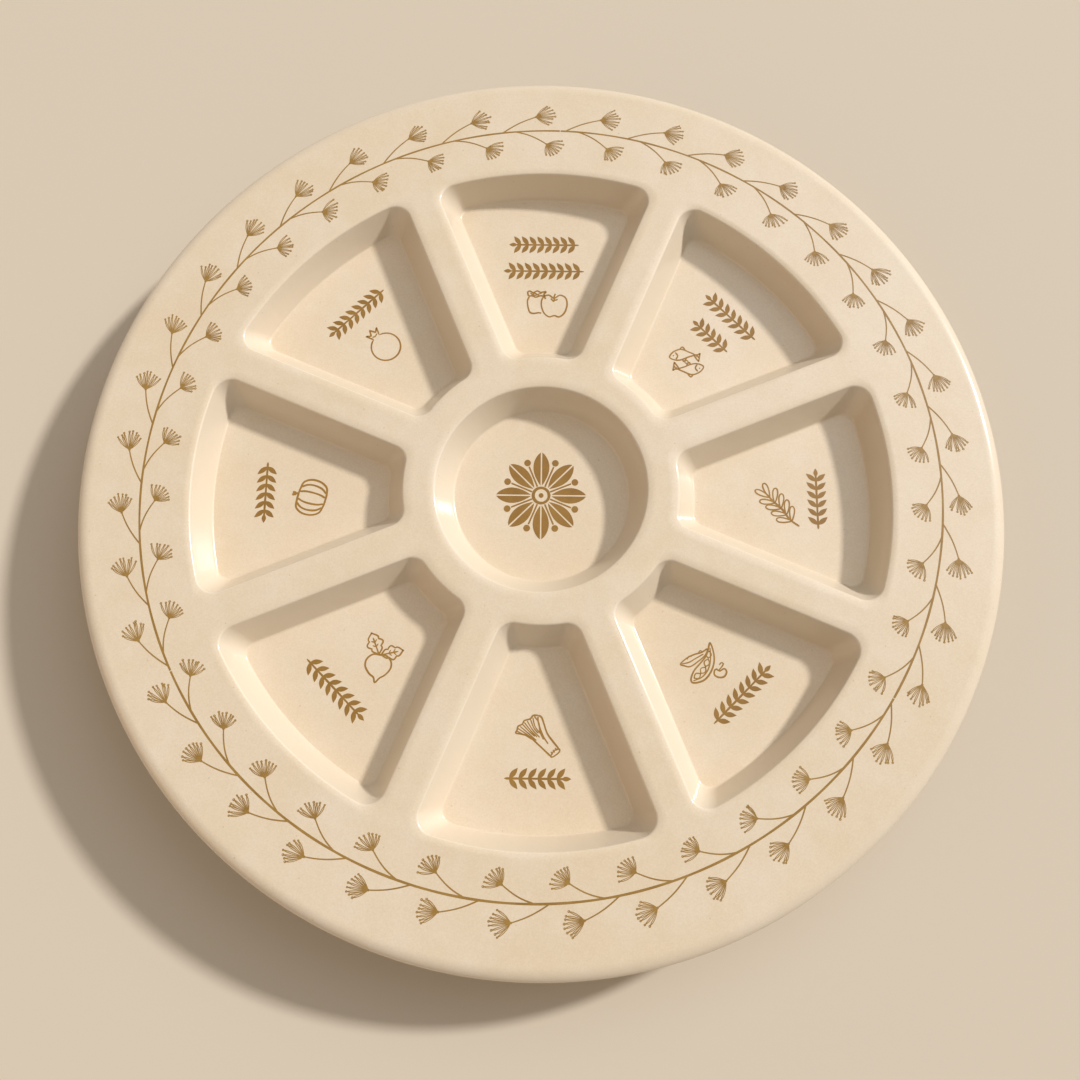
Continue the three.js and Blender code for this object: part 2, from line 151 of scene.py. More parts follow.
def polar(radius, angle):
    """Points at a radius and an angle from the centre: radius times cosine and sine of the angle."""
    return np.stack(np.broadcast_arrays(radius * np.cos(angle), radius * np.sin(angle)), axis=-1)


def turn(points, angle):
    """Points turned about the centre: each pair times the rotation matrix of the angle."""
    c, s = np.cos(angle), np.sin(angle)
    return np.asarray(points, float) @ np.array([[c, s], [-s, c]])


def arc(centre, radius, start, stop, steps):
    """An arc without its last point: the centre plus the radius along evenly spaced angles."""
    return np.asarray(centre) + polar(radius, np.linspace(start, stop, steps, endpoint=False))


def line(start, stop, steps):
    """A straight run without its last point: start plus even shares of the way to stop."""
    share = np.linspace(0, 1, steps, endpoint=False)[:, None]
    return np.asarray(start) * (1 - share) + np.asarray(stop) * share


def mirrored(upper):
    """A closed outline from its upper half: the half, then itself backwards with y turned over."""
    return np.concatenate([upper, upper[-2:0:-1] * [1, -1]])


def well_outline(inset):
    """Outline of a wedge well about +X, brought in by inset, times the lean at the outer wall and the
    sides. The outer and inner edges are arcs about the plate's centre, the sides run parallel to the
    rib's middle line, and the corner circles touch both: a circle's centre lies its radius inside
    each edge."""
    share = inset / FLOOR_INSET
    corner_out, corner_in = CORNER_OUT - CORNER_TIGHTER * share, CORNER_IN - CORNER_TIGHTER * share
    outer, inner = WELL_OUTER - OUTER_LEAN * inset, WELL_INNER + inset
    side = RIB_HALF + SIDE_LEAN * inset
    reach_out, reach_in = side + corner_out, side + corner_in
    at_out = turn([np.sqrt((outer - corner_out) ** 2 - reach_out ** 2), -reach_out], HALF_PITCH)
    at_in = turn([np.sqrt((inner + corner_in) ** 2 - reach_in ** 2), -reach_in], HALF_PITCH)
    angle_out, angle_in = np.arctan2(at_out[1], at_out[0]), np.arctan2(at_in[1], at_in[0])
    normal = HALF_PITCH + np.pi / 2
    return mirrored(np.concatenate([
        arc([0, 0], outer, 0, angle_out, ARC_OUT),
        arc(at_out, corner_out, angle_out, normal, 2 * CORNER),
        line(at_out + polar(corner_out, normal), at_in + polar(corner_in, normal), SIDE),
        arc(at_in, corner_in, normal, np.pi + angle_in, 2 * CORNER),
        arc([0, 0], inner, angle_in, 0, ARC_IN),
        [[inner, 0]],
    ]))


def sector_outline():
    """Outline of the wedge of deck round a well, point for point with well_outline: an arc, the rib's
    middle line inwards, and an arc back."""
    return mirrored(np.concatenate([
        arc([0, 0], SECTOR_OUT, 0, HALF_PITCH, ARC_OUT + CORNER),
        line(polar(SECTOR_OUT, HALF_PITCH), polar(SECTOR_IN, HALF_PITCH), CORNER + SIDE + CORNER),
        arc([0, 0], SECTOR_IN, HALF_PITCH, 0, CORNER + ARC_IN),
        [[SECTOR_IN, 0]],
    ]))


def pocket_section():
    """The wall of a pocket as rows of how far in, how deep, how the glaze thins or pools, with the light and
    shade
    painted with it, and how steep it is: a shoulder that falls with the square of the share along it, an arc
    over the lip that goes on from the shoulder's slope, a straight slope, and an arc to the floor. The glaze
    value runs from -1, drawn thin and painted as a highlight over the lip, to 1, gathered and painted as a
    shade line in the fillet. Steepness is 0 on the level and 1 on the slope."""
    share = np.linspace(0, 1, SHOULDER_STEPS, endpoint=False)
    level = np.zeros(len(share))
    shoulder = np.stack([SHOULDER * (share - 1), SHOULDER_DROP * share ** 2, level, level], axis=-1)
    start = np.arctan(2 * SHOULDER_DROP / SHOULDER)
    turned = np.linspace(0, 1, ARC_STEPS + 1)
    angle = start + (WALL_TURN - start) * turned
    lip = np.stack([
        LIP * (np.sin(angle) - np.sin(start)), SHOULDER_DROP + LIP * (np.cos(start) - np.cos(angle)),
        -0.6 * np.sin(np.pi * turned), turned,
    ], axis=-1)
    angle = WALL_TURN * turned[::-1]
    foot = np.stack([
        FLOOR_INSET - FILLET * np.sin(angle), DEPTH - FILLET * (1 - np.cos(angle)),
        np.sin(np.pi * turned ** 0.8), turned[::-1],
    ], axis=-1)
    slope = line(lip[-1], foot[0], SLOPE_STEPS)[1:]
    return np.concatenate([shoulder, lip, slope, foot])


def at_height(outline, z):
    """The outline lifted to one height."""
    return np.concatenate([outline, np.full((len(outline), 1), z)], axis=1)


def pocket(outline_at, pole):
    """Rings of a pocket from lip to pole, and each ring's glaze value, with its painted highlight and shade,
    and its steepness: the outline at each inset of the section, then the floor's outline drawn in towards
    the pole in shares."""
    section = pocket_section()
    wall = [at_height(outline_at(inset), DECK_Z - drop) for inset, drop, _, _ in section]
    floor = [wall[-1] + (np.array([*pole, FLOOR_Z]) - wall[-1]) * share for share in FLOOR_SHARES]
    return np.array(wall + floor), np.concatenate([section[:, 2:], np.zeros((len(FLOOR_SHARES), 2))])


def rounded(corners, steps=7):
    """A section through corners given as distance, height and rounding: each rounding is a parabola
    from one side to the other, reaching along each by the rounding over the tangent of half the angle."""
    corners = np.array(corners, float)
    runs = [corners[:1, :2]]
    for before, here, after in zip(corners, corners[1:], corners[2:]):
        back, on = before[:2] - here[:2], after[:2] - here[:2]
        lengths = np.linalg.norm(back), np.linalg.norm(on)
        opening = np.arccos(back @ on / (lengths[0] * lengths[1]))
        reach = min(here[2] / np.tan(opening / 2), 0.45 * min(lengths))
        first, last = here[:2] + back / lengths[0] * reach, here[:2] + on / lengths[1] * reach
        t = np.linspace(0, 1, steps)[:, None]
        runs.append(first * (1 - t) ** 2 + 2 * here[:2] * t * (1 - t) + last * t ** 2)
    return np.concatenate([*runs, corners[-1:, :2]])


def outside_section():
    """Distance and height down the outside: deck, half ellipse of the rim's edge, rim's underside,
    body, foot ring and recess, ending on the axis."""
    t = np.linspace(np.pi / 2, -np.pi / 2, 21)
    edge = np.array([PLATE_RADIUS - EDGE_ACROSS, DECK_Z - EDGE_DOWN]) + np.stack(
        [EDGE_ACROSS * np.cos(t), EDGE_DOWN * np.sin(t)], axis=-1)
    deck = [(radius, DECK_Z) for radius in RIM_DECK]
    recess = [(radius, BASE_Z) for radius in RECESS_INWARDS]
    return np.concatenate([deck, edge, rounded(UNDERSIDE)[1:], recess])


def revolved(section, angles):
    """Rings of a section turned about the axis: each distance and height at every angle."""
    return np.array([at_height(polar(r, angles), z) for r, z in section])


def grid_faces(rows, columns):
    """Quads of a grid that closes on itself along its columns."""
    row, column = np.meshgrid(np.arange(rows - 1), np.arange(columns), indexing="ij")
    corner = [(row + a) * columns + (column + b) % columns for a, b in ((0, 0), (0, 1), (1, 1), (1, 0))]
    return np.stack(corner, axis=-1).reshape(-1, 4)


def joined(parts):
    """Several vertex and face arrays as one pair, the faces counted on from the vertices before."""
    starts = np.cumsum([0] + [len(points) for points, _ in parts[:-1]])
    return (np.concatenate([points for points, _ in parts]),
            np.concatenate([faces + start for (_, faces), start in zip(parts, starts)]))


def new_piece(name, points, faces, finish, slot, nodes, values=None):
    """A mesh object from millimetre points and quads, riding on the plate."""
    mesh = bpy.data.meshes.new(name)
    mesh.from_pydata((np.asarray(points) / 1000).tolist(), [], faces.tolist())
    for key, numbers in (values or {}).items():
        mesh.attributes.new(key, "FLOAT", "POINT").data.foreach_set("value", numbers)
    piece = bpy.data.objects.new(name, mesh)
    bpy.context.scene.collection.objects.link(piece)
    mesh.materials.append(finish)
    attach(piece, "root")
    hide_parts(*nodes)
    return piece


def weld(piece):
    """Joins the grids' shared edges and poles, whose points lie within two thousandths of a millimetre,
    and turns every face outwards."""
    shell = bmesh.new()
    shell.from_mesh(piece.data)
    bmesh.ops.remove_doubles(shell, verts=shell.verts, dist=2e-6)
    bmesh.ops.recalc_face_normals(shell, faces=shell.faces)
    shell.to_mesh(piece.data)
    shell.free()
    piece.data.polygons.foreach_set("use_smooth", [True] * len(piece.data.polygons))


# Prints

def ribbons(paths, half_widths, base_z, closed=False):
    """Flat bands along many paths at once, a hair proud of the glaze. paths holds stations of x and y
    for each band. The band's edges lie half its width to each side of the path, square to the run
    between the neighbouring stations, and its section is a box of four corners. Each band stands a
    little higher than the one before, so that crossing bands never share a plane."""
    paths = np.asarray(paths, float)
    count, stations, _ = paths.shape
    if closed:
        run = np.roll(paths, -1, axis=1) - np.roll(paths, 1, axis=1)
        faces = grid_faces(stations + 1, 4) % (4 * stations)
    else:
        run = np.gradient(paths, axis=1)
        last = 4 * (stations - 1)
        ends = [[3, 2, 1, 0], [last, last + 1, last + 2, last + 3]]
        faces = np.concatenate([grid_faces(stations, 4), ends])
    run /= np.linalg.norm(run, axis=-1, keepdims=True)
    half = np.broadcast_to(half_widths, (count, stations))[..., None]
    across = np.stack([-run[..., 1], run[..., 0]], axis=-1) * half
    sides = np.stack([paths + across, paths + across, paths - across, paths - across], axis=2)
    top = base_z + PRINT_RISE + BAND_SPREAD * (np.arange(count) % BAND_LEVELS) / BAND_LEVELS
    low = np.full(count, base_z - PRINT_SUNK)
    height = np.stack([low, top, top, low], axis=-1)[:, None, :, None]
    height = np.broadcast_to(height, (count, stations, 4, 1))
    corners = np.concatenate([sides, height], axis=-1).reshape(-1, 3)
    return corners, (faces[None] + 4 * stations * np.arange(count)[:, None, None]).reshape(-1, 4)


def layered(strokes):
    """Drawn strokes as one pair of arrays, each stroke lifted a touch above the one before."""
    lifted = [(points + [0, 0, STROKE_STEP * order], faces) for order, (points, faces) in enumerate(strokes)]
    return joined(lifted)


def smooth(points, steps=48, closed=False):
    """A curve through a few points by the Catmull-Rom cubic: between two points the slopes at both are
    half the way between their neighbours."""
    points = np.asarray(points, float)
    if closed:
        p = np.concatenate([points[-1:], points, points[:2]])
    else:
        p = np.concatenate([2 * points[:1] - points[1:2], points, 2 * points[-1:] - points[-2:-1]])
    spans = len(p) - 3
    at = np.linspace(0, spans, steps, endpoint=not closed)
    i = np.minimum(at.astype(int), spans - 1)
    t = (at - i)[:, None]
    a, b, c, d = p[i], p[i + 1], p[i + 2], p[i + 3]
    square, cube = 2 * a - 5 * b + 4 * c - d, 3 * b - a - 3 * c + d
    return 0.5 * (2 * b + (c - a) * t + square * t ** 2 + cube * t ** 3)


def pen(path, width=LINE, closed=False):
    """One drawn line: a band whose half width swells and thins by a tenth along the way, and tapers
    over its last stations where the line is open."""
    path = np.asarray(path, float)
    share = np.linspace(0, 1, len(path))
    half = width * (1 + 0.1 * np.sin(9 * share + path[0].sum()))
    if not closed:
        half = half * np.clip(np.minimum(share, 1 - share) / 0.06 + 0.45, 0, 1)
    return ribbons(path[None], half[None], FLOOR_Z, closed)


def lens(root, tip, width, steps=9):
    """A filled pointed leaf: a straight band whose half width is a sine arch from root to tip, with a
    hair's width left at both ends."""
    share = np.linspace(0, 1, steps)
    path = np.asarray(root) + (np.asarray(tip) - np.asarray(root)) * share[:, None]
    return path, width / 2 * np.sin(np.pi * share ** 0.9) + 0.03


def round_trip(root, tip, width, steps, swell):
    """A closed line from root to tip and back, by its angle t round the trip: the way along is half of
    one less the cosine of t, and the way aside is half the width times swell, which takes both."""
    t = np.linspace(0, 2 * np.pi, steps, endpoint=False)
    along = (1 - np.cos(t)) / 2
    run = np.subtract(tip, root)
    side = np.array([-run[1], run[0]]) / np.linalg.norm(run)
    return root + run * along[:, None] + side * (width / 2 * swell(t, along))[:, None]


def leaf_line(root, tip, width, lobes=0, steps=32):
    """Outline of a leaf: out along one side and back along the other, the half width a sine arch that
    meets in a point at both ends. On a lobed leaf each side is scalloped by the sine's size."""
    def swell(t, along):
        arch = np.sin(np.pi * along) * np.where(t < np.pi, 1, -1)
        return arch * (0.72 + 0.38 * np.abs(np.sin(np.pi * lobes * along))) if lobes else arch
    return round_trip(root, tip, width, steps, swell)


def drop_line(root, tip, width, steps=28):
    """Outline of a rounded leaf: an ellipse from root to tip whose width grows along it."""
    return round_trip(root, tip, width, steps, lambda t, along: np.sin(t) * (0.45 + 0.7 * along))


def ellipse(across, up, steps):
    """A closed ellipse about the drawing's middle: across times the cosine, up times the sine."""
    t = np.linspace(0, 2 * np.pi, steps, endpoint=False)
    return np.stack([across * np.cos(t), up * np.sin(t)], axis=-1)


def dots(centres, radius, base_z=FLOOR_Z):
    """Filled dots: short bands whose half width follows a circle."""
    s = np.linspace(-1, 1, 9)
    centres = np.asarray(centres, float).reshape(-1, 1, 2)
    paths = centres + np.stack([s * radius, 0 * s], axis=-1)[None]
    return ribbons(paths, np.broadcast_to(radius * np.sqrt(1.02 - s ** 2), paths.shape[:2]), base_z)


def apple_and_honey():
    """A honey jar with a tied cloth behind an apple: closed and open curves through listed points, the
    apple's far side its near side mirrored."""
    side = [(5.1, 3.3), (7.3, 2.2), (7.9, -0.7), (6.9, -4.0), (4.9, -5.7)]
    far = [(5.9 - x, y) for x, y in side][::-1]
    cloth = [
        (-6.9, 3.0), (-7.2, 4.5), (-6.4, 4.9), (-5.1, 4.3), (-3.6, 5.0), (-2.3, 4.4), (-0.3, 4.7),
        (-1.0, 3.6), (-0.6, 2.8), (-2.4, 3.0), (-4.1, 2.4), (-5.5, 2.9),
    ]
    jar = [(-6.6, 2.7), (-7.3, 0.9), (-7.1, -1.6), (-6.4, -3.8), (-5.0, -4.4), (-3.2, -4.1), (-1.9, -4.2)]
    return [
        pen(smooth([(2.9, 2.0), *side, (3.0, -5.2), *far], 72, True), closed=True),
        pen(smooth([(2.9, 2.0), (3.0, 2.9), (3.4, 3.9)], 12)),
        pen(smooth([(1.6, 1.9), (2.6, 0.9), (3.1, 0.8)], 12)),
        pen(smooth([(2.8, 1.9), (3.3, 1.2), (4.3, 1.6)], 12)),
        pen(smooth(jar, 40)),
        pen(smooth([(-1.2, 2.6), (-0.6, 2.2), (-0.4, 1.6)], 10)),
        pen(smooth(cloth, 72, True), closed=True),
        pen(smooth([(-6.3, 4.2), (-4.7, 3.2), (-3.2, 3.6), (-1.6, 4.3)], 20), 0.24),
        pen(smooth([(-5.9, 3.3), (-4.6, 4.0), (-3.0, 3.1)], 16), 0.24),
    ]


def fish_pair():
    """Two fish head to tail: the curves of one, and the same turned half round."""
    body = [
        (-6.4, 1.9), (-4.9, 4.0), (-2.0, 5.1), (1.0, 4.0), (3.0, 2.9), (0.8, 2.0), (-2.2, 0.8), (-4.6, 0.8),
    ]
    tail = [(2.8, 2.9), (4.3, 2.9), (5.2, 3.5), (4.9, 1.7), (4.6, 0.2), (3.7, 1.4)]
    fins = [
        (smooth([(-2.6, 4.9), (-1.5, 6.0), (-0.3, 4.8)], 12), False),
        (smooth([(-1.5, 0.9), (-0.9, 0.2), (0.1, 1.6)], 12), False),
    ]
    one = [
        (smooth(body, 60, True), True), (line_through(tail, 8, True), True), *fins,
        (smooth([(-4.2, 3.8), (-3.3, 2.4), (-4.0, 1.0)], 12), False),
        (smooth([(3.6, 2.5), (4.4, 2.3), (4.7, 1.5)], 8), False),
    ]
    both = [pen(turn(path, angle), 0.28, closed=shut) for angle in (0, np.pi) for path, shut in one]
    between = pen(ellipse(0.62, 0.55, 16), 0.2, closed=True)
    return [*both, between, dots([(-4.9, 2.5), (4.9, -2.5)], 0.26)]


def line_through(points, steps, closed=False):
    """A line of straight runs through corners, each run in equal steps."""
    points = np.asarray(points, float)
    ends = np.roll(points, -1, axis=0) if closed else points[1:]
    runs = [line(a, b, steps) for a, b in zip(points, ends)]
    return np.concatenate(runs if closed else [*runs, points[-1:]])


def date_sprig():
    """A sprig: a curved stem, and rounded leaves in pairs from the listed roots and at its tip."""
    stem = smooth([(1.2, -10.9), (0.3, -6.8), (0.7, -2.2), (0.2, 2.2), (0.2, 5.4)], 40)
    roots = [(0.4, -7.6), (0.6, -4.6), (0.6, -1.6), (0.3, 1.4), (0.2, 4.2)]
    leaves = [
        drop_line((x, y), (x + side * 3.9, y + 3.9), 2.1) for x, y in roots[:4] for side in (-1, 1)
    ]
    leaves += [drop_line(roots[4], (side * 2.1, 9.4), 2.1) for side in (-1, 1)]
    return [pen(stem, 0.4), *[pen(leaf, 0.27, closed=True) for leaf in leaves]]


def bean_pods():
    """A standing and a lying pod, seeds in a row along the standing one, and a bean with its stalk."""
    tall = [
        (3.0, 7.6), (4.1, 4.6), (4.3, 1.0), (3.1, -2.6), (0.6, -5.6), (-3.0, -6.6), (-4.0, -5.4),
        (-2.9, -2.4), (-0.5, 0.4), (1.4, 2.8), (2.3, 5.2),
    ]
    low = [
        (-7.6, 0.0), (-5.4, 2.0), (-2.9, 3.3), (0.0, 4.2), (2.0, 5.4), (1.2, 3.2), (-1.4, 0.9),
        (-4.2, -0.9), (-6.4, -0.6),
    ]
    band = [(-3.2, -5.9), (-0.2, -4.6), (2.0, -2.0), (3.0, 1.4), (3.0, 5.8)]
    bean = [
        (5.0, -1.7), (6.2, -2.3), (7.8, -1.5), (8.6, -2.6), (7.8, -4.2), (6.0, -4.6), (4.4, -3.8),
        (4.3, -2.4),
    ]
    seeds = [
        ((-2.9, -4.9), (-0.6, -3.4)), ((-0.5, -3.2), (1.2, -1.1)), ((1.2, -0.8), (2.2, 1.8)),
        ((2.2, 2.2), (2.7, 4.6)),
    ]
    return [
        pen(smooth(tall, 80, True), closed=True),
        pen(smooth(low, 64, True), 0.26, closed=True),
        pen(smooth(band, 40), 0.24),
        pen(smooth([(-7.2, 0.0), (-4.6, 0.6), (-2.2, 2.0), (0.6, 3.6)], 30), 0.22),
        pen(smooth([(-5.2, 1.6), (-4.6, 2.7), (-3.6, 2.6)], 12), 0.2),
        pen(smooth([(-1.4, 3.6), (-0.6, 4.7), (0.4, 4.3)], 12), 0.2),
        *[pen(leaf_line(start, stop, 1.9), 0.22, closed=True) for start, stop in seeds],
        pen(smooth(bean, 44, True), closed=True),
        pen(smooth([(5.9, -2.0), (6.9, -0.9), (7.5, 0.2), (6.8, 0.6), (6.1, -0.2)], 20), 0.24),
    ]


def leek():
    """A leek: two sides and a crown through listed points, and blades that fan from the shaft to it."""
    left = [(-1.7, -8.3), (-2.2, -2.5), (-2.8, 2.0), (-5.5, 5.9)]
    right = [(2.1, -8.4), (2.3, -4.6), (2.7, -1.6), (4.0, 1.4), (4.9, 3.6), (4.6, 4.9)]
    crown = [
        (-5.5, 5.9), (-4.3, 6.2), (-3.2, 6.9), (-1.6, 6.5), (-0.3, 6.9), (1.6, 6.0), (3.2, 6.1), (4.6, 4.9),
    ]
    tips = [
        (-4.6, 5.9), (-3.7, 6.4), (-2.7, 6.5), (-1.6, 6.3), (-0.7, 6.5), (0.4, 6.2), (1.6, 5.8), (2.6, 5.7),
    ]
    blades = [
        pen(smooth([(0.5 * x - 0.4, 0.4 - 0.7 * (k % 3)), (0.62 * x - 0.5, 2.8), (x, y)], 22), 0.2)
        for k, (x, y) in enumerate(tips)
    ]
    folds = [
        pen(smooth([(4.2, 4.8), (2.6, 2.6), (1.0, -1.4), (0.5, -4.6)], 26), 0.26),
        pen(smooth([(3.3, 5.7), (3.0, 3.2), (1.2, 0.2), (0.3, -2.4)], 26), 0.26),
    ]
    foot = [(-1.7, -8.3), (-1.0, -9.0), (1.4, -9.2), (2.1, -8.4), (0.4, -7.7)]
    roots = [pen(line((x, -8.3), (x + 0.2, -6.9), 6), 0.22) for x in (-0.8, 0.2, 1.2)]
    return [
        pen(smooth(left, 36)), pen(smooth(right, 36)), pen(smooth(crown, 56), 0.28),
        *blades, *folds, *roots, pen(smooth(foot, 30, True), 0.26, closed=True),
    ]


def beet():
    """A beet: a round body whose far side is its near side mirrored, a root tip, and two lobed leaves
    whose side veins leave the middle vein at shares of its length."""
    side = [(2.4, 1.1), (4.3, -0.7), (4.5, -3.2), (2.9, -5.6), (1.1, -6.9)]
    far = [(-x, y) for x, y in side][::-1]
    leaves = [((-0.2, 1.3), (-3.9, 8.6), 5.4), ((0.5, 1.2), (8.2, 3.6), 4.6)]
    veins = []
    for root, tip, _ in leaves:
        run = np.subtract(tip, root)
        across = np.array([-run[1], run[0]]) * 0.16
        veins.append(pen(line(root, np.add(root, run * 0.85), 12), 0.26))
        for share in (0.35, 0.55):
            for way in (-1, 1):
                start = np.add(root, run * share)
                veins.append(pen(line(start, start + run * 0.14 + way * across, 5), 0.2))
    return [
        pen(smooth([(0, 1.2), *side, (-0.4, -8.6), *far], 80, True), closed=True),
        *[pen(leaf_line(root, tip, width, 3, 56), 0.28, closed=True) for root, tip, width in leaves],
        *veins,
    ]


def gourd():
    """A ribbed gourd: a skin mirrored about its middle, ribs that are one bow widened by a factor
    each, and a short crossed stalk."""
    half = [(2.4, 4.8), (5.0, 4.2), (6.5, 1.6), (6.4, -1.8), (4.9, -4.4), (2.2, -5.2)]
    skin = [(0.2, 4.9), *half, (0, -5.3), *[(-x, y) for x, y in half[::-1]]]
    rib = np.array([(0.8, 4.6), (1.15, 2.6), (1.25, 0), (1.1, -2.9), (0.7, -5.0)])
    ribs = [pen(smooth(rib * (near, 1), 30), 0.35) for near in (-3.9, -1.9, 1.5, 3.7)]
    stalk = [((0.2, 4.9), (0.0, 7.4)), ((-1.0, 6.9), (1.0, 6.0)), ((-0.7, 5.8), (0.8, 7.2))]
    stalk_lines = [pen(line(*ends, 8), 0.4) for ends in stalk]
    return [pen(smooth(skin, 84, True), 0.36, closed=True), *ribs, *stalk_lines]


def pomegranate():
    """A pomegranate: most of a circle, open under a crown of straight points."""
    crown = [(-1.4, 4.2), (-2.7, 7.2), (-1.1, 5.9), (0, 8.0), (1.1, 5.9), (2.7, 7.2), (1.4, 4.2)]
    t = np.linspace(np.radians(106), np.radians(434), 80)
    skin = np.array([0, -1.2]) + polar(5.55, t)
    mouth_line = smooth([(-1.2, 5.2), (0, 4.8), (1.2, 5.2)], 10)
    return [pen(skin), pen(line_through(crown, 6)), pen(mouth_line, 0.24)]


def garland(length):
    """A straight leafy garland along Y: a stem, and leaves at equal steps to both sides, each from
    the stem outwards and forwards."""
    count = int(round(length / LEAF_PITCH))
    pitch = length / (count + 1)
    y = -length / 2 + pitch * (np.arange(count) + 1)
    leaves = [
        lens((0, at - 0.5 * pitch), (side * LEAF_REACH, at + 0.38 * pitch), LEAF_WIDTH)
        for at in y for side in (-1, 1)
    ]
    leaves.append(lens((0, length / 2 - pitch), (0, length / 2), TOP_LEAF_WIDTH))
    stem = line((0, -length / 2), (0, length / 2 - 0.5 * pitch), 30)
    return [pen(stem, 0.36), ribbons([path for path, _ in leaves], [half for _, half in leaves], FLOOR_Z)]


def rosette():
    """Eight petals round an eye, each in two halves along its middle vein, with a stalked dot between
    each two: every shape is made once along +X and turned by an eighth."""
    share = np.linspace(0, 1, 15)
    reach = PETAL_FROM + PETAL_LENGTH * share
    bulge = PETAL_FULLNESS * np.sin(np.pi * share ** 1.15) ** 0.8
    halves = [np.stack([reach, side * (0.3 + bulge / 2)], axis=-1) for side in (-1, 1)]
    steps = np.arange(WELLS) * 2 * HALF_PITCH
    petals = [turn(half, angle) for angle in steps for half in halves]
    stalk = line((STALK_FROM, 0), (STALK_TO, 0), 12)
    stalks = [turn(stalk, angle + HALF_PITCH) for angle in steps]
    return [
        ribbons(petals, np.broadcast_to(bulge / 2 + 0.05, (len(petals), len(share))), FLOOR_Z),
        ribbons(stalks, np.full((len(stalks), len(stalk)), 0.3), FLOOR_Z),
        dots(polar(STALK_DOTS_AT, steps + HALF_PITCH), STALK_DOT),
        pen(ellipse(EYE_RADIUS, EYE_RADIUS, 40), EYE_LINE, closed=True),
        dots([(0, 0)], EYE_DOT),
    ]


def on_rim(clockwise, out):
    """A point on the rim by its clockwise angle from +Y and its distance outside the stem. The print is
    laid by hand and wanders a little: the stem's radius and how far the angle runs ahead are each a
    mean plus cosines of the angle, once, twice or three times round."""
    stem = STEM_RADIUS + sum(size * np.cos(times * (clockwise - at)) for size, times, at in STEM_WANDER)
    ahead = AHEAD_MEAN + sum(size * np.cos(times * (clockwise - at)) for size, times, at in AHEAD_WANDER)
    return polar(stem + out, np.pi / 2 - clockwise - np.radians(ahead))


def vine(transfer):
    """One arc of the rim vine. The stem runs along it, its half width a mean, less a cosine once round,
    plus a small sine 31 times round. At each step one branch goes outwards and one inwards, each a
    gentle arch, and ends in a fan of rays that spring from one point, a third more spread there than
    at their ends. A ray is two lines that bow apart and meet, each off the middle by the share along
    it times one less the share's fourth power, and it ends in a small ring."""
    count = STEPS_ROUND // ARCS
    first = np.radians(FIRST_BRANCH) + 2 * np.pi * (transfer * count + np.arange(count)) / STEPS_ROUND
    chance = np.random.default_rng(11 + transfer)
    sweep = 2 * np.pi / ARCS
    stem_at = np.radians(STEM_START) + np.linspace(transfer * sweep, (transfer + 1) * sweep - ARC_GAP, 150)
    stem_half = 0.36 - 0.04 * np.cos(stem_at) + 0.03 * np.sin(stem_at * 31)
    parts = [ribbons(on_rim(stem_at, 0)[None], stem_half[None], DECK_Z)]
    for lag, lean, rise, bow, lengths, rays_from, rays_to in FANS:
        start = first + np.radians(lag)
        share = np.linspace(0, 1, 12)
        along = start[:, None] + np.radians(lean) * share
        out = rise * (1 + chance.normal(0, 0.03, (count, 1))) * share + bow * np.sin(np.pi * share)
        half = np.broadcast_to(BRANCH_HALF + BRANCH_GROWS * share, along.shape)
        parts.append(ribbons(on_rim(along, out), half, DECK_Z))
        spread = np.radians(np.linspace(rays_from, rays_to, RAYS)) + chance.normal(0, 0.035, (count, RAYS))
        length = np.interp(np.linspace(0, 2, RAYS), (0, 1, 2), lengths)
        length = length * (1 + chance.normal(0, 0.04, (count, RAYS)))
        s = np.linspace(0, 1, 6)
        middle = np.radians((rays_from + rays_to) / 2)
        angle = middle + (spread - middle)[..., None] * (1.3 - 0.3 * s)
        reach = length[..., None] * s
        apart = RAY_BOW * s * (1 - s ** 4)
        head, away = along[:, -1][:, None, None], out[:, -1][:, None, None]
        for side in (-1, 1):
            forward = reach * np.cos(angle) - side * apart * np.sin(angle)
            outward = reach * np.sin(angle) + side * apart * np.cos(angle)
            points = on_rim(head + forward / (STEM_RADIUS + away), away + outward).reshape(-1, len(s), 2)
            half = np.broadcast_to(RAY_HALF + RAY_GROWS * s, points.shape[:2])
            parts.append(ribbons(points, half, DECK_Z))
        size = RING_RADIUS + RING_SPREAD * chance.random((len(points), 1))
        ring = points[:, -1:] + polar(size, np.linspace(0, 2 * np.pi, 8, endpoint=False))
        parts.append(ribbons(ring, np.full(ring.shape[:2], RING_HALF), DECK_Z, closed=True))
        parts.append(dots(on_rim(along[:, -1], out[:, -1]), HEAD_DOT, DECK_Z))
    return layered(parts)


# Finishes

class Signal:
    """A node's output, on which arithmetic adds Math nodes."""

    def __init__(self, nodes, socket):
        self.nodes, self.socket = nodes, socket

    def math(self, operation, *values):
        return self.nodes.node("ShaderNodeMath", {"operation": operation}, dict(enumerate(values)))

    def __add__(self, other):
        return self.math("ADD", self, other)

    def __sub__(self, other):
        return self.math("SUBTRACT", self, other)

    def __rsub__(self, other):
        return self.math("SUBTRACT", other, self)

    def __mul__(self, other):
        return self.math("MULTIPLY", self, other)

    __radd__, __rmul__ = __add__, __mul__

    def over(self, low, high):
        """0 below low, 1 above high, and an even slope between them."""
        values = {0: self, 1: low, 2: high, 3: 0.0, 4: 1.0}
        return self.nodes.node("ShaderNodeMapRange", {"clamp": True}, values)


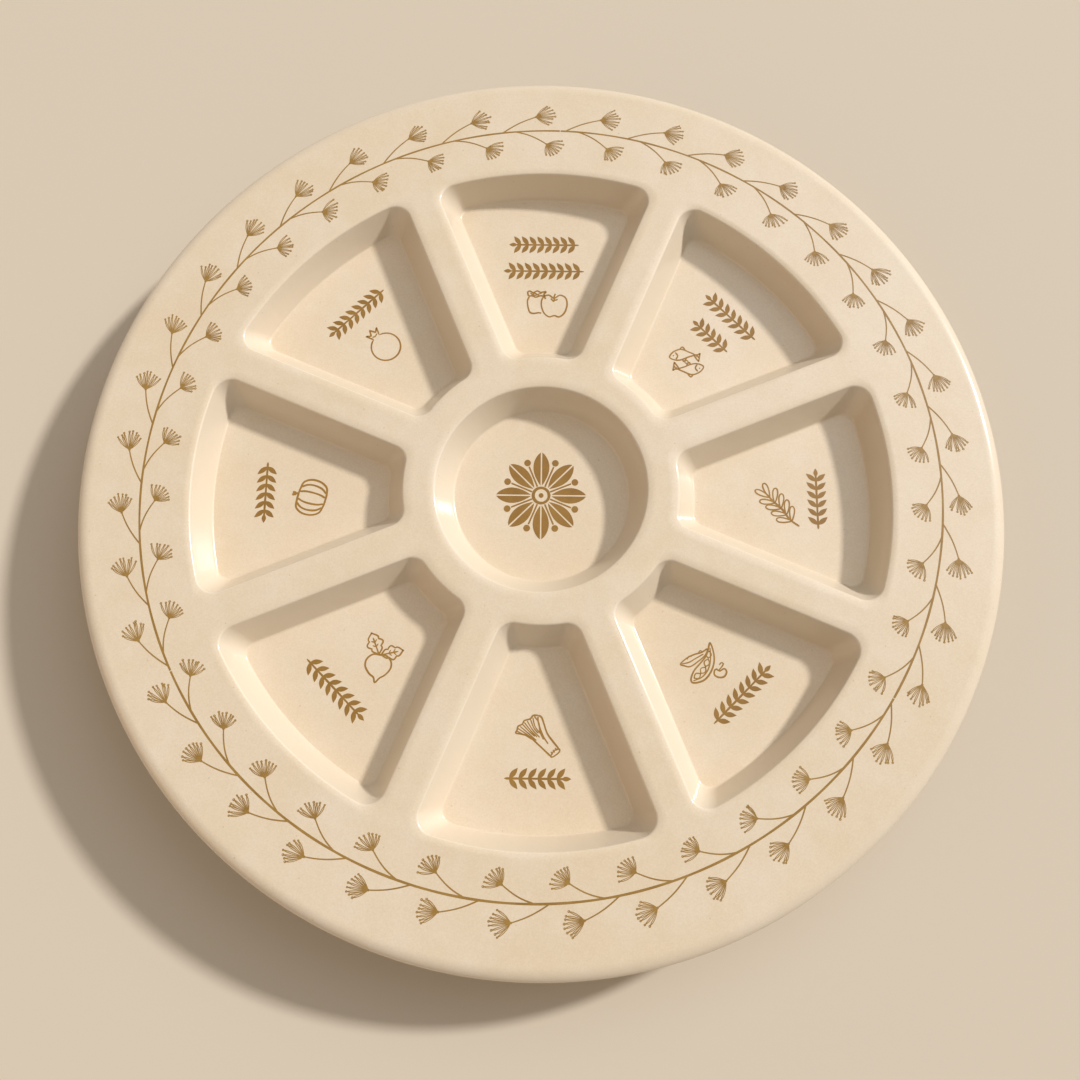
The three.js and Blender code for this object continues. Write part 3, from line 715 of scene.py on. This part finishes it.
class Nodes:
    """The nodes of a material or a world, under construction."""

    def __init__(self, owner):
        owner.use_nodes = True
        self.tree = owner.node_tree
        self.tree.nodes.clear()

    def node(self, kind, settings=None, inputs=None, output=0):
        """A node from its type, its settings, which are set first, and its sockets' values or links."""
        made = self.tree.nodes.new(kind)
        for key, value in (settings or {}).items():
            setattr(made, key, value)
        for key, value in (inputs or {}).items():
            if isinstance(value, Signal):
                self.tree.links.new(value.socket, made.inputs[key])
            else:
                made.inputs[key].default_value = value
        return Signal(self, made.outputs[output])

    def close(self, kind, shader):
        """The last node, which takes the shader."""
        self.tree.links.new(shader.socket, self.tree.nodes.new(kind).inputs["Surface"])


class Finish(Nodes):
    """A material under construction."""

    def __init__(self, name):
        self.material = bpy.data.materials.new(name)
        super().__init__(self.material)
        self.place = self.node("ShaderNodeTexCoord", output="Object")

    def moved(self, *shift):
        """Object coordinates moved by a fixed step, so that no two patterns lie alike."""
        return self.node("ShaderNodeVectorMath", {"operation": "ADD"}, {0: self.place, 1: shift})

    def noise(self, size, detail=3.0, roughness=0.5, seed=0.0):
        """Noise from 0 to 1 whose patches are about size millimetres wide."""
        values = {"Scale": 1000 / size, "Detail": detail, "Roughness": roughness}
        values["Vector"] = self.moved(seed, -seed, seed * 0.7)
        return self.node("ShaderNodeTexNoise", None, values, "Fac")

    def cells(self, size, seed=0.0):
        """Distance to the nearest of points strewn about size millimetres apart, in cells."""
        values = {"Vector": self.moved(seed, seed * 0.4, -seed), "Scale": 1000 / size, "Randomness": 1.0}
        return self.node("ShaderNodeTexVoronoi", None, values, "Distance")

    def mix(self, factor, first, second):
        """The first colour, going over to the second as the factor goes from 0 to 1. Of the node's
        sockets, 0 is the factor, and 6, 7 and output 2 are the colours."""
        return self.node("ShaderNodeMix", {"data_type": "RGBA"}, {0: factor, 6: first, 7: second}, 2)

    def attribute(self, name):
        """A number that the mesh carries at each point."""
        return self.node("ShaderNodeAttribute", {"attribute_name": name}, None, "Fac")

    def bump(self, height, distance, strength):
        """A normal tilted as by a height from 0 to 1 times the distance in metres."""
        values = {"Height": height, "Distance": distance, "Strength": strength}
        return self.node("ShaderNodeBump", None, values)

    def surface(self, **sockets):
        """The finished material: a principled shader with these sockets, joined to the output."""
        values = {key.replace("_", " "): value for key, value in sockets.items()}
        self.close("ShaderNodeOutputMaterial", self.node("ShaderNodeBsdfPrincipled", None, values))
        return self.material


def srgb(red, green, blue):
    """A colour as it shows on screen, 0 to 255, as linear light."""
    c = np.array([red, green, blue]) / 255
    linear = np.where(c <= 0.04045, c / 12.92, ((c + 0.055) / 1.055) ** 2.4)
    return (*map(float, linear), 1.0)


def cream_glaze():
    """Satin cream glaze: broad warm and pale clouds, a fine grain, sparse brown specks, paler over the lips
    where the glaze is thin and as a painted highlight, a painted shade that makes the steep walls greyer and
    darker, deeper in the fillets where it pools and as a painted shade line in the crease, and bare clay
    under the foot."""
    f = Finish("cream_glaze")
    cloud = f.noise(46, 4, 0.55)
    drift = f.noise(14, 4, 0.6, 3.1)
    grain = f.noise(0.6, 2, 0.6, 7.7)
    pooling_and_painted_light = f.attribute("pooling_and_painted_light")
    steep = f.attribute("steepness")
    colour = f.mix(cloud.over(0.32, 0.68), srgb(231, 210, 182), srgb(227, 204, 172))
    colour = f.mix(drift.over(0.42, 0.72) * 0.4, colour, srgb(236, 220, 199))
    colour = f.mix(grain.over(0.5, 0.75) * 0.34, colour, srgb(214, 192, 161))
    colour = f.mix((1 - grain).over(0.5, 0.75) * 0.3, colour, srgb(243, 227, 204))
    # Painted shade: every steep face, inside the wells and outside, made greyer and darker so that the lit
    # walls come out less bright
    colour = f.mix(steep * 0.75, colour, srgb(218, 202, 180))
    # Paler over the lips: thin glaze, and a painted highlight along each lip
    colour = f.mix((pooling_and_painted_light * -1).over(0.0, 1.0) * 0.45, colour, srgb(238, 223, 202))
    # Deeper in the fillets: pooled glaze, and a painted shade line where wall meets floor
    colour = f.mix(pooling_and_painted_light.over(0.0, 1.0) * 0.15, colour, srgb(226, 200, 164))
    pepper = 1 - f.cells(6.5, 2.3).over(0.03, 0.055)
    freckle = 1 - f.cells(2.6, 9.1).over(0.04, 0.11)
    colour = f.mix(pepper * 0.3, colour, srgb(170, 134, 94))
    colour = f.mix(freckle * 0.16, colour, srgb(200, 172, 138))
    height = f.node("ShaderNodeSeparateXYZ", None, {0: f.place}, "Z")
    bare = 1 - (height + f.noise(3, 2) * 0.0009).over(0.0011, 0.0016)
    clay = f.mix(f.noise(0.7, 3, 0.7).over(0.3, 0.7), srgb(206, 178, 146), srgb(190, 160, 127))
    colour = f.mix(bare, colour, clay)
    satin = 0.5 + drift.over(0.3, 0.7) * 0.08 + grain * 0.05
    swell = f.noise(9, 2, 0.4, 5.2) + grain * 0.02
    return f.surface(
        Base_Color=colour, Roughness=satin + bare * 0.4,
        Normal=f.bump(swell, 0.0004, 0.35),
        Coat_Weight=(1 - bare) * 0.7, Coat_Roughness=0.13, IOR=1.5,
    )


def fired_print(name, pale, deep):
    """Ochre colour fired into the glaze: its density drifts from stroke to stroke and is grainy."""
    f = Finish(name)
    drift = f.noise(7, 3, 0.6, 1.3)
    grain = f.noise(0.5, 2, 0.7, 4.4)
    colour = f.mix(drift.over(0.3, 0.7) * 0.7 + grain.over(0.45, 0.75) * 0.3, deep, pale)
    return f.surface(
        Base_Color=colour, Roughness=0.42 + grain * 0.12,
        Normal=f.bump(grain, 0.00005, 0.3), Coat_Weight=0.2, Coat_Roughness=0.2, IOR=1.45,
    )


# Pieces

glaze = cream_glaze()
vine_print = fired_print("vine_print", srgb(169, 131, 64), srgb(145, 107, 42))
picture_print = fired_print("picture_print", srgb(168, 126, 54), srgb(146, 104, 34))
garland_print = fired_print("garland_print", srgb(160, 119, 52), srgb(138, 99, 36))

# Plate: the wedge sectors, the hub with the centre well, and the outside, welded along their edges
well_rings, well_glaze = pocket(well_outline, (PRINTS_FROM + PRINTS_RUN / 2, 0))
wedge, mouth = sector_outline(), well_outline(-SHOULDER)
deck_rings = np.array([at_height(wedge * (1 - share) + mouth * share, DECK_Z) for share in DECK_SHARES])
sector = np.concatenate([deck_rings, well_rings])
sector_glaze = np.concatenate([np.zeros((len(deck_rings), 2)), well_glaze])
columns = sector.shape[1]
parts, glaze_rows = [], []
for index in range(WELLS):
    turned = sector.copy()
    turned[..., :2] = turn(sector[..., :2], index * 2 * HALF_PITCH)
    parts.append((turned.reshape(-1, 3), grid_faces(len(sector), columns)))
    glaze_rows.append(np.repeat(sector_glaze, columns, axis=0))


def ring_angles(steps):
    """Angles of the sectors' grid all the way round: even shares of half a wedge to both sides of
    each wedge's middle."""
    share = HALF_PITCH * np.arange(1 - steps, steps + 1) / steps
    return (2 * HALF_PITCH * np.arange(WELLS)[:, None] + share).ravel()


out_angles, in_angles = ring_angles(ARC_OUT + CORNER), ring_angles(CORNER + ARC_IN)
section = outside_section()
outside = revolved(section, out_angles)
parts.append((outside.reshape(-1, 3), grid_faces(len(outside), len(out_angles))))
run = np.gradient(section, axis=0)
outside_glaze = np.stack([np.zeros(len(run)), np.abs(run[:, 1]) / np.hypot(*run.T)], axis=-1)
glaze_rows.append(np.repeat(outside_glaze, len(out_angles), axis=0))
hub_rings, hub_glaze = pocket(lambda inset: polar(CENTRE_WELL - HUB_LEAN * inset, in_angles), (0, 0))
hub_deck = revolved([(radius, DECK_Z) for radius in HUB_DECK], in_angles)
hub = np.concatenate([hub_deck, hub_rings])
parts.append((hub.reshape(-1, 3), grid_faces(len(hub), len(in_angles))))
hub_glaze = np.concatenate([np.zeros((len(hub_deck), 2)), hub_glaze])
glaze_rows.append(np.repeat(hub_glaze, len(in_angles), axis=0))
pooling_and_painted_light, steepness = np.concatenate(glaze_rows).T
plate_points, plate_faces = joined(parts)
plate = new_piece("glazed_plate", plate_points, plate_faces, glaze, "cream_glaze", ["plate_body"],
                  {"pooling_and_painted_light": pooling_and_painted_light.copy(), "steepness": steepness.copy()})
weld(plate)

# Rim vine, in its three arcs
for transfer in range(ARCS):
    points, faces = vine(transfer)
    new_piece(f"vine_transfer_{transfer + 1}", points, faces, vine_print, "fired_print",
              [f"rim_vine_print_{transfer + 1}"])

# Pictures and garlands, clockwise from the far well: name, drawing, share along the well, distance
# aside, turn in degrees and the garlands' lengths, then the shares along the well of the garlands' rows
WELL_PRINTS = (
    ("apple_honey", apple_and_honey, 0.33, -1.2, 0, (27, 31)),
    ("fish", fish_pair, 0.32, -1.0, 0, (26, 18)),
    ("date", date_sprig, 0.49, -3.0, 40, (23,)),
    ("bean", bean_pods, 0.45, -2.5, 0, (29,)),
    ("leek", leek, 0.49, 0.0, 43, (23,)),
    ("beet", beet, 0.43, 2.6, -5, (30,)),
    ("gourd", gourd, 0.457, 1.7, 76, (23,)),
    ("pomegranate", pomegranate, 0.457, 1.2, 45, (28,)),
)
GARLAND_ROWS = (0.735, 0.55)


def placed(drawing, spin, at):
    """A drawing's points turned by spin and moved to a place."""
    points, faces = layered(drawing)
    points[:, :2] = turn(points[:, :2], spin) + at
    return points, faces


for index, (name, draw, along, aside, spin, lengths) in enumerate(WELL_PRINTS):
    facing = np.pi / 2 - index * 2 * HALF_PITCH
    at = turn([PRINTS_FROM + along * PRINTS_RUN, aside], facing)
    new_piece(f"{name}_picture", *placed(draw(), np.radians(spin), at), picture_print, "fired_print",
              [f"{name}_pictogram"])
    for row, length in enumerate(lengths):
        at = turn([PRINTS_FROM + GARLAND_ROWS[row] * PRINTS_RUN, 0], facing)
        new_piece(f"{name}_leaf_garland_{row + 1}", *placed(garland(length), facing, at), garland_print,
                  "fired_print", [f"{name}_garland_{row + 1}"])
new_piece("centre_rosette", *layered(rosette()), garland_print, "fired_print", ["centre_rosette_print"])

# Table, light and camera

def sheet_of(name, corners, colour):
    """A flat sheet of the stage, matte and in one colour, from its corners in metres."""
    mesh = bpy.data.meshes.new(name)
    mesh.from_pydata(corners, [], [(0, 1, 2, 3)])
    sheet = bpy.data.objects.new(name, mesh)
    bpy.context.scene.collection.objects.link(sheet)
    f = Finish(name)
    mesh.materials.append(f.surface(Base_Color=colour, Roughness=0.9, Specular_IOR_Level=0.1))


TABLE_CORNERS = [(x * TABLE_HALF, y * TABLE_HALF, 0) for x, y in ((-1, -1), (1, -1), (1, 1), (-1, 1))]
sheet_of("table_top", TABLE_CORNERS, srgb(220, 205, 185))


def stand(data, place, target):
    """Stands a lamp or camera at a place, turned towards a target."""
    holder = bpy.data.objects.new(data.name, data)
    bpy.context.scene.collection.objects.link(holder)
    holder.location = place
    holder.rotation_euler = (Vector(target) - Vector(place)).to_track_quat("-Z", "Y").to_euler()
    return holder


def soft_light(name, size, energy, colour, place):
    """A round sheet of light that faces the plate, its size in metres and its energy in watts."""
    lamp = bpy.data.lights.new(name, "AREA")
    lamp.shape = "DISK"
    lamp.size, lamp.energy, lamp.color = size, energy, colour
    stand(lamp, place, LIGHT_AIM)


# Low light from the far right, 34 degrees up, with shadows whose edges are a little soft
key = bpy.data.lights.new("key_light", "SUN")
key.angle, key.energy = 0.08, 2.9
stand(key, (3.263, 1.809, 2.516), LIGHT_AIM)

# Broad cool light from higher up on the same side
soft_light("fill_light", 1.6, 5.9, (0.85, 0.97, 1.15), (0.9, 0.9, 1.5))

# Weak warm light from low on the other side, as a wall there would throw it back
soft_light("bounce_light", 1.0, 2.3, (1.0, 0.5, 0.15), (-1.2, -0.65, 0.5))

# Pale surroundings: warm and weak as light, and plain pale where the camera, gloss or glass sees them
world = bpy.data.worlds.new("studio")
bpy.context.scene.world = world
sky = Nodes(world)
camera_ray = sky.node("ShaderNodeLightPath", output="Is Camera Ray")
gloss_ray = sky.node("ShaderNodeLightPath", output="Is Glossy Ray")
glass_ray = sky.node("ShaderNodeLightPath", output="Is Transmission Ray")
cast = sky.node("ShaderNodeBackground", None, {"Color": (0.94, 0.92, 0.84, 1.0), "Strength": 0.36})
seen = sky.node("ShaderNodeBackground", None, {"Color": srgb(236, 230, 219)})
rays = camera_ray + gloss_ray + glass_ray
sky.close("ShaderNodeOutputWorld", sky.node("ShaderNodeMixShader", None, {0: rays, 1: cast, 2: seen}))

camera = bpy.data.cameras.new("camera")
camera.sensor_width, camera.lens = 36.0, 33.33
camera.clip_start, camera.clip_end = 0.01, 20
bpy.context.scene.camera = stand(camera, CAMERA_AT, CAMERA_AIM)
bpy.context.scene.view_settings.view_transform = "Standard"
